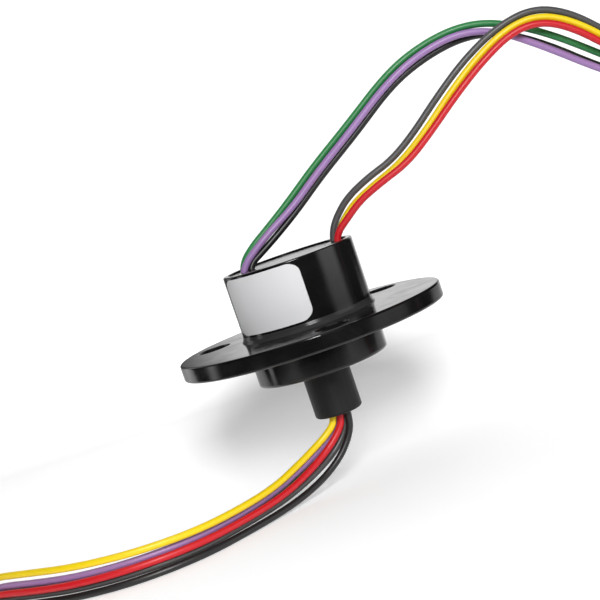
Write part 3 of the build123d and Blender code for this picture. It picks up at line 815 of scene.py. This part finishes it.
@dataclass(frozen=True)
class CameraFit:
    """The photograph's camera, fitted to the object's outlines.

    Attributes:
        distance: From the origin, in metres.
        elevation: Above the flange's plane, in radians.
        pan: Turn about the picture's vertical, in radians.
        tilt: Turn about the picture's horizontal, in radians.
        roll: Turn about the line of sight, in radians.
        focal: Focal length in pixels of a picture 600 pixels wide.
        width: The picture's width in pixels.
        sensor: Width of the sensor in millimetres.
        near: Where the view starts, in metres.
        far: Where the view ends, in metres.
    """

    distance: float = 0.248899
    elevation: float = 0.1046
    pan: float = 0.001
    tilt: float = -0.015
    roll: float = -0.327
    focal: float = 1522.05
    width: float = 600.0
    sensor: float = 36.0
    near: float = 0.01
    far: float = 20.0

    def build(self) -> bpy.types.Object:
        """Makes the scene's camera."""
        place = Vector((0, -math.cos(self.elevation), math.sin(self.elevation))) * self.distance
        ahead = -place.normalized()
        right = Vector((1, 0, 0))
        up = right.cross(ahead).normalized()
        rows = Matrix((right, -up, ahead))
        turn = (
            Matrix.Rotation(self.roll, 3, "Z")
            @ Matrix.Rotation(self.pan, 3, "Y")
            @ Matrix.Rotation(self.tilt, 3, "X")
        )
        rows = turn @ rows
        axes = Matrix((rows[0], -rows[1], -rows[2])).transposed()
        data = bpy.data.cameras.new("photo_camera")
        data.sensor_width = self.sensor
        data.lens = self.focal * data.sensor_width / self.width
        data.clip_start = self.near
        data.clip_end = self.far
        made = add_object("photo_camera", data)
        made.matrix_world = Matrix.Translation(place) @ axes.to_4x4()
        bpy.context.scene.camera = made
        return made


@dataclass(frozen=True)
class SoftBox:
    """A rectangular light.

    Attributes:
        name: Its name.
        place: Where it stands, in metres.
        target: The point that it faces.
        size: Its width and height.
        power: Its strength in watts.
        feather: How far its light fades in from each edge, as a share of its size.
    """

    name: str
    place: Point
    target: Point
    size: tuple[float, float]
    power: float
    feather: float = 0.0

    def build(self) -> bpy.types.Object:
        """Makes the light."""
        data = bpy.data.lights.new(self.name, "AREA")
        data.shape = "RECTANGLE"
        data.size, data.size_y = self.size
        data.energy = self.power
        if self.feather:
            self.fade(data)
        made = add_object(self.name, data)
        made.location = self.place
        toward = Vector(self.target) - Vector(self.place)
        made.rotation_mode = "QUATERNION"
        made.rotation_quaternion = toward.to_track_quat("-Z", "Y")
        return made

    def fade(self, data: bpy.types.AreaLight) -> None:
        """Lets the light fade out towards its edges, so that gloss shows a band with soft sides.

        Args:
            data: The light.
        """
        data.use_nodes = True
        tree = data.node_tree
        nodes, links = tree.nodes, tree.links
        emission = nodes["Emission"]
        place = nodes.new("ShaderNodeTexCoord")
        axes = nodes.new("ShaderNodeSeparateXYZ")
        links.new(place.outputs["UV"], axes.inputs["Vector"])
        both = add_math(tree, "MULTIPLY")
        for i, axis in enumerate("XY"):
            centred = add_math(tree, "PINGPONG")
            centred.inputs[1].default_value = 0.5
            soft = add_range(tree, source=(0.0, self.feather), smooth=True)
            links.new(axes.outputs[axis], centred.inputs[0])
            links.new(centred.outputs["Value"], soft.inputs["Value"])
            links.new(soft.outputs["Result"], both.inputs[i])
        links.new(both.outputs["Value"], emission.inputs["Strength"])


class Studio:
    """The white sweep, the world and the lights."""

    floor_z = -27.4 * MM
    half_width = 0.155
    front = -0.13
    bend_start = 0.0228
    bend_radius = 0.030
    wall_half_width = 0.085
    bend_steps = 40
    top = 0.5
    wall_glow = 0.70
    bend_glow = 0.07
    bend_share = 0.6
    floor_glow = 0.325
    wall_white = (0.40, 0.40, 0.402, 1.0)
    floor_white = (0.85, 0.85, 0.853, 1.0)
    # Painted dark reflections: positions across the upright paper, and how dark gloss sees it there.
    dark_reflection_bands = (
        (-0.066, 0.0),
        (-0.048, 0.9),
        (-0.030, 0.9),
        (-0.008, 0.0),
        (0.028, 0.0),
        (0.050, 1.0),
    )
    glossy_share = 0.75
    back_share = 0.65
    fill = 0.15
    room_edges = (0.6, 0.95)
    room_glow = (0.03, 0.8)
    floor_white_from = 0.25
    paper_roughness = 0.9
    paper_specular = 0.1
    paper_grain_scale = 900.0
    paper_grain_height = 0.01 * MM

    lights = (
        SoftBox("key_softbox", (0.04, -0.53, 0.25), (0.0, 0.0, -0.01), (0.15, 0.16), 2.8),
        SoftBox("top_softbox", (0.0, -0.20, 0.60), (0.0, 0.0, 0.0), (0.60, 0.40), 0.4),
        SoftBox("right_panel", (0.42, -0.17, 0.07), (0.0, 0.0, 0.0), (0.42, 0.32), 0.80, 0.3),
        SoftBox("left_strip", (-0.39, 0.05, 0.02), (0.0, 0.0, -0.01), (0.10, 0.30), 0.24, 0.4),
    )

    def sweep(self) -> bpy.types.Object:
        """Makes the floor that curves up into the backdrop behind the object."""
        wide, narrow = self.half_width, self.wall_half_width
        profile = [(self.front, self.floor_z, wide), (self.bend_start, self.floor_z, wide)]
        for i in range(1, self.bend_steps + 1):
            angle = math.pi / 2 * (i / self.bend_steps)
            y = self.bend_start + self.bend_radius * math.sin(angle)
            z = self.floor_z + self.bend_radius * (1 - math.cos(angle))
            profile.append((y, z, wide + (narrow - wide) * math.sin(angle)))
        profile.append((y, self.top, narrow))
        verts = [(x, y, z) for y, z, half in profile for x in (-half, half)]
        faces = [(2 * i, 2 * i + 1, 2 * i + 3, 2 * i + 2) for i in range(len(profile) - 1)]
        mesh = bpy.data.meshes.new("paper_sweep")
        mesh.from_pydata(verts, [], faces)
        mesh.shade_smooth()
        mesh.materials.append(self.paper())
        return add_object("paper_sweep", mesh)

    def paper(self) -> bpy.types.Material:
        """A white paper that keeps the object's shadow and hides nothing from behind."""
        material = bpy.data.materials.new("white_paper")
        material.use_nodes = True
        tree = material.node_tree
        nodes, links = tree.nodes, tree.links
        shader = nodes["Principled BSDF"]
        shader.inputs["Roughness"].default_value = self.paper_roughness
        shader.inputs["Specular IOR Level"].default_value = self.paper_specular
        shader.inputs["Emission Color"].default_value = WHITE
        place = nodes.new("ShaderNodeTexCoord")
        path = nodes.new("ShaderNodeLightPath")
        surface = nodes.new("ShaderNodeNewGeometry")
        facing = nodes.new("ShaderNodeSeparateXYZ")
        links.new(surface.outputs["Normal"], facing.inputs["Vector"])
        whites = nodes.new("ShaderNodeValToRGB")
        whites.color_ramp.elements[0].color = self.wall_white
        whites.color_ramp.elements[1].color = self.floor_white
        whites.color_ramp.elements[1].position = self.floor_white_from
        links.new(facing.outputs["Z"], whites.inputs["Fac"])
        links.new(whites.outputs["Color"], shader.inputs["Base Color"])
        links.new(self.paper_grain(tree, place), shader.inputs["Normal"])
        links.new(self.paper_glow(tree, facing, path), shader.inputs["Emission Strength"])
        behind = add_math(tree, "MULTIPLY")
        links.new(surface.outputs["Backfacing"], behind.inputs[0])
        links.new(path.outputs["Is Camera Ray"], behind.inputs[1])
        shade = nodes.new("ShaderNodeMixShader")
        clear = nodes.new("ShaderNodeBsdfTransparent")
        either_way = nodes.new("ShaderNodeMixShader")
        # Painted dark reflections: in the bands beside the object, gloss sees the upright paper as black.
        links.new(self.paper_dark_reflections(tree, place, facing, path), shade.inputs["Fac"])
        links.new(shader.outputs["BSDF"], shade.inputs[1])
        links.new(behind.outputs["Value"], either_way.inputs["Fac"])
        links.new(shade.outputs["Shader"], either_way.inputs[1])
        links.new(clear.outputs["BSDF"], either_way.inputs[2])
        links.new(either_way.outputs["Shader"], nodes["Material Output"].inputs["Surface"])
        return material

    def paper_grain(
        self, tree: bpy.types.NodeTree, place: bpy.types.Node
    ) -> bpy.types.NodeSocket:
        """The paper's fine grain.

        Args:
            tree: The paper's nodes.
            place: Its coordinates.

        Returns:
            A normal.
        """
        grain = tree.nodes.new("ShaderNodeTexNoise")
        grain.inputs["Scale"].default_value = self.paper_grain_scale
        bump = tree.nodes.new("ShaderNodeBump")
        bump.inputs["Distance"].default_value = self.paper_grain_height
        tree.links.new(place.outputs["Object"], grain.inputs["Vector"])
        tree.links.new(grain.outputs["Fac"], bump.inputs["Height"])
        return bump.outputs["Normal"]

    def paper_glow(
        self, tree: bpy.types.NodeTree, facing: bpy.types.Node, path: bpy.types.Node
    ) -> bpy.types.NodeSocket:
        """How strongly the paper glows: less at the bend, and less to what lies behind gloss.

        Args:
            tree: The paper's nodes.
            facing: The parts of its normal.
            path: The kind of ray that meets it.

        Returns:
            A strength.
        """
        links = tree.links
        graded = tree.nodes.new("ShaderNodeValToRGB")
        graded.color_ramp.elements[0].color = (*[self.wall_glow] * 3, 1.0)
        graded.color_ramp.elements[1].color = (*[self.floor_glow] * 3, 1.0)
        bend = graded.color_ramp.elements.new(self.bend_share)
        bend.color = (*[self.bend_glow] * 3, 1.0)
        links.new(facing.outputs["Z"], graded.inputs["Fac"])
        mirror = add_math(tree, "MULTIPLY")
        mirror.inputs[1].default_value = self.glossy_share
        links.new(path.outputs["Is Glossy Ray"], mirror.inputs[0])
        either = add_math(tree, "MAXIMUM")
        links.new(path.outputs["Is Camera Ray"], either.inputs[0])
        links.new(mirror.outputs["Value"], either.inputs[1])
        seen = add_math(tree, "MAXIMUM")
        links.new(either.outputs["Value"], seen.inputs[0])
        links.new(path.outputs["Is Transmission Ray"], seen.inputs[1])
        share = add_range(tree, result=(self.back_share, 1.0))
        links.new(seen.outputs["Value"], share.inputs["Value"])
        glow = add_math(tree, "MULTIPLY")
        links.new(share.outputs["Result"], glow.inputs[0])
        links.new(graded.outputs["Color"], glow.inputs[1])
        return glow.outputs["Value"]

    def paper_dark_reflections(
        self,
        tree: bpy.types.NodeTree,
        place: bpy.types.Node,
        facing: bpy.types.Node,
        path: bpy.types.Node,
    ) -> bpy.types.NodeSocket:
        """Painted dark reflections: where gloss sees the upright paper as dark, in bands beside the object.

        Args:
            tree: The paper's nodes.
            place: Its coordinates.
            facing: The parts of its normal.
            path: The kind of ray that meets it.

        Returns:
            How dark it is, from 0 to 1.
        """
        nodes, links = tree.nodes, tree.links
        across = nodes.new("ShaderNodeSeparateXYZ")
        beside = add_range(tree, source=(-self.wall_half_width, self.wall_half_width))
        bands = nodes.new("ShaderNodeValToRGB")
        stops = bands.color_ramp.elements
        bands.color_ramp.interpolation = "EASE"
        for x, dark in self.dark_reflection_bands:
            stop = stops.new(0.5 + 0.5 * x / self.wall_half_width)
            stop.color = (dark, dark, dark, 1.0)
        stops.remove(stops[0])
        stops.remove(stops[-1])
        upright = add_range(tree, result=(1.0, 0.0))
        mirrored = add_math(tree, "MULTIPLY")
        gap = add_math(tree, "MULTIPLY")
        links.new(place.outputs["Object"], across.inputs["Vector"])
        links.new(across.outputs["X"], beside.inputs["Value"])
        links.new(beside.outputs["Result"], bands.inputs["Fac"])
        links.new(facing.outputs["Z"], upright.inputs["Value"])
        links.new(upright.outputs["Result"], mirrored.inputs[0])
        links.new(path.outputs["Is Glossy Ray"], mirrored.inputs[1])
        links.new(mirrored.outputs["Value"], gap.inputs[0])
        links.new(bands.outputs["Color"], gap.inputs[1])
        return gap.outputs["Value"]

    def world(self) -> None:
        """White to the camera, a soft fill, and to reflections a room that is dark in front."""
        world = bpy.data.worlds.new("soft_surround")
        world.use_nodes = True
        tree = world.node_tree
        nodes, links = tree.nodes, tree.links
        back = nodes["Background"]
        back.inputs["Color"].default_value = WHITE
        place = nodes.new("ShaderNodeTexCoord")
        axes = nodes.new("ShaderNodeSeparateXYZ")
        room = add_range(tree, self.room_edges, self.room_glow, smooth=True)
        path = nodes.new("ShaderNodeLightPath")
        glossy = nodes.new("ShaderNodeMix")
        glossy.inputs["A"].default_value = self.fill
        seen = nodes.new("ShaderNodeMix")
        seen.inputs["B"].default_value = 1.0
        links.new(place.outputs["Generated"], axes.inputs["Vector"])
        links.new(axes.outputs["Y"], room.inputs["Value"])
        links.new(path.outputs["Is Glossy Ray"], glossy.inputs["Factor"])
        links.new(room.outputs["Result"], glossy.inputs["B"])
        links.new(path.outputs["Is Camera Ray"], seen.inputs["Factor"])
        links.new(glossy.outputs["Result"], seen.inputs["A"])
        links.new(seen.outputs["Result"], back.inputs["Strength"])
        bpy.context.scene.world = world

    def build(self) -> None:
        """Sets the studio up and marks what isn't part of the object."""
        self.world()
        floor = self.sweep()
        lamps = [light.build() for light in self.lights]
        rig.stage(floor, *lamps)
        scene = bpy.context.scene
        scene.view_settings.view_transform = "Standard"
        scene.view_settings.look = "None"
        log.info("studio: %d lights", len(lamps))


# The slip ring's own pieces


@dataclass(frozen=True)
class ResinDome:
    """The resin that stands up round the leads where they leave the cap, in millimetres.

    Attributes:
        name: Its name.
        middle: The exit's middle.
        length: Length of the exit's slot, along Y.
        width: Width of the slot, along X.
        low: Height of the cap's face.
        rise: How far the resin stands up round the leads.
        creep: How far it spreads past the slot.
        rings: Steps from the rim to the middle.
        sides: Steps round the rim.
        ripples: How the rim wavers: ripples round it, and each one's share of the creep.
        crown: Power by which it rises towards the middle.
    """

    name: str
    middle: tuple[float, float]
    length: float = 4.2
    width: float = 2.7
    low: float = 10.9
    rise: float = 0.42
    creep: float = 0.28
    rings: int = 8
    sides: int = 56
    ripples: tuple[tuple[int, float], ...] = ((3, 0.05), (7, 0.03))
    crown: float = 1.5

    def rim_point(self, share: float, step: int) -> tuple[float, float]:
        """A point of the slot's outline, shrunk towards its middle.

        Args:
            share: 1 at the rim and 0 in the middle.
            step: The step round the rim.

        Returns:
            X and Y in millimetres.
        """
        angle = 2 * math.pi * step / self.sides
        (slow, deep), (fast, shallow) = self.ripples
        wave = 1 + deep * math.sin(slow * angle + self.middle[0]) + shallow * math.sin(fast * angle)
        radius = (self.width / 2 + self.creep * wave) * share
        straight = (self.length - self.width) / 2 * share
        x = self.middle[0] + radius * math.cos(angle)
        y = self.middle[1] + radius * math.sin(angle) + math.copysign(straight, math.sin(angle))
        return x, y

    def build(self, resin: bpy.types.Material) -> bpy.types.Object:
        """Makes the dome and dresses it.

        Args:
            resin: The resin's material.

        Returns:
            The dome, which rides on the stator.
        """
        shape = bmesh.new()
        circles = []
        for i in range(self.rings):
            share = 1 - i / self.rings
            height = self.low + self.rise * (1 - share) ** self.crown
            points = [Vector((*self.rim_point(share, k), height)) * MM for k in range(self.sides)]
            circles.append([shape.verts.new(point) for point in points])
        for outer, inner in zip(circles, circles[1:]):
            for k in range(self.sides):
                after = (k + 1) % self.sides
                shape.faces.new((outer[k], outer[after], inner[after], inner[k]))
        shape.faces.new(circles[-1])
        shape.faces.new(reversed(circles[0]))
        mesh = bpy.data.meshes.new(self.name)
        shape.to_mesh(mesh)
        shape.free()
        mesh.materials.append(resin)
        mesh.shade_smooth()
        made = add_object(self.name, mesh)
        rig.ride(made, Side.STATOR.value)
        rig.slot(made, "potting_resin")
        log.info("%s: %d faces", made.name, len(mesh.polygons))
        return made


RESIN_DOMES = (
    ResinDome("left_exit_resin", (-6.85, 0.1)),
    ResinDome("right_exit_resin", (8.05, 0.5)),
)


class FinishSet:
    """The finishes of the pieces that the CAD frame shows."""

    finishes = (
        Finish(
            "housing_plastic",
            (0.0030, 0.0030, 0.0032),
            roughness=0.12,
            ior=1.47,
            dust=0.02,
            wear=0.03,
        ),
        Finish("cap_plastic", (0.0035, 0.0035, 0.0038), roughness=0.17, dust=0.03, wear=0.03),
        Finish("adhesive", (0.006, 0.006, 0.007), roughness=0.14, wave=0.00003, ior=1.25),
        Finish(
            "nameplate",
            (0.70, 0.70, 0.715),
            roughness=0.42,
            smudge=0.05,
            dust=0.02,
            wear=0.0,
            grain=0.0000015,
        ),
        Finish("potting_resin", (0.006, 0.006, 0.0065), roughness=0.1, wave=0.00003),
        Finish("board_laminate", (0.02, 0.14, 0.05), roughness=0.45),
        Finish(
            "rotor_plastic",
            (0.0035, 0.0035, 0.0038),
            roughness=0.5,
            ior=1.35,
            smudge=0.08,
            dust=0.02,
            wear=0.05,
            grain=0.0000015,
        ),
        Finish("bearing_steel", (0.55, 0.55, 0.57), roughness=0.25, metallic=1.0),
        Finish("ball_steel", (0.7, 0.7, 0.72), roughness=0.06, metallic=1.0, grain=0.0),
        Finish("cage_brass", (0.62, 0.42, 0.14), roughness=0.35, metallic=1.0),
        Finish("spring_steel", (0.25, 0.25, 0.27), roughness=0.35, metallic=1.0),
        Finish("spacer_plastic", (0.62, 0.56, 0.40), roughness=0.5),
        Finish("ring_brass", (0.83, 0.58, 0.18), roughness=0.14, metallic=1.0),
        Finish("brush_wire", (0.85, 0.62, 0.22), roughness=0.18, metallic=1.0),
        Finish("tie_nylon", (0.012, 0.012, 0.013), roughness=0.4),
    )

    def __init__(self, effects: Effects) -> None:
        """Makes every finish's material.

        Args:
            effects: The shared node groups.
        """
        self.materials = {finish.name: finish.build(effects) for finish in self.finishes}

    def paint(self) -> None:
        """Gives each CAD node its slot's material, where this set has that finish."""
        record = frame["record"]
        slots = {row["node"]: row["material_slot"] for row in record["subparts"]}
        for name, node in frame["nodes"].items():
            slot = slots[name]
            if slot not in self.materials:
                continue
            node.data.materials.clear()
            node.data.materials.append(self.materials[slot])
            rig.slot(node, slot)
            log.info("%s: %s, %d faces", name, slot, len(node.data.polygons))


def save_size(key: str) -> None:
    """Args:
        key: The name that the box is kept under.
    """
    low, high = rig.bounds()
    sizes = {}
    if key == "done":
        with open(SIZE_FILE) as file:
            sizes = json.load(file)
    sizes[key] = [list(low), list(high)]
    with open(SIZE_FILE, "w") as file:
        json.dump(sizes, file)
    log.info("box %s: %s to %s", key, tuple(low), tuple(high))


def main() -> None:
    """Builds the whole scene."""
    logging.basicConfig(level=logging.INFO, format="%(message)s")
    save_size("loaded")
    CameraFit().build()
    effects = Effects()
    Harness(effects).build()
    finishes = FinishSet(effects)
    finishes.paint()
    for dome in RESIN_DOMES:
        dome.build(finishes.materials["potting_resin"])
    Studio().build()
    save_size("done")


if __name__ == "__main__":
    main()
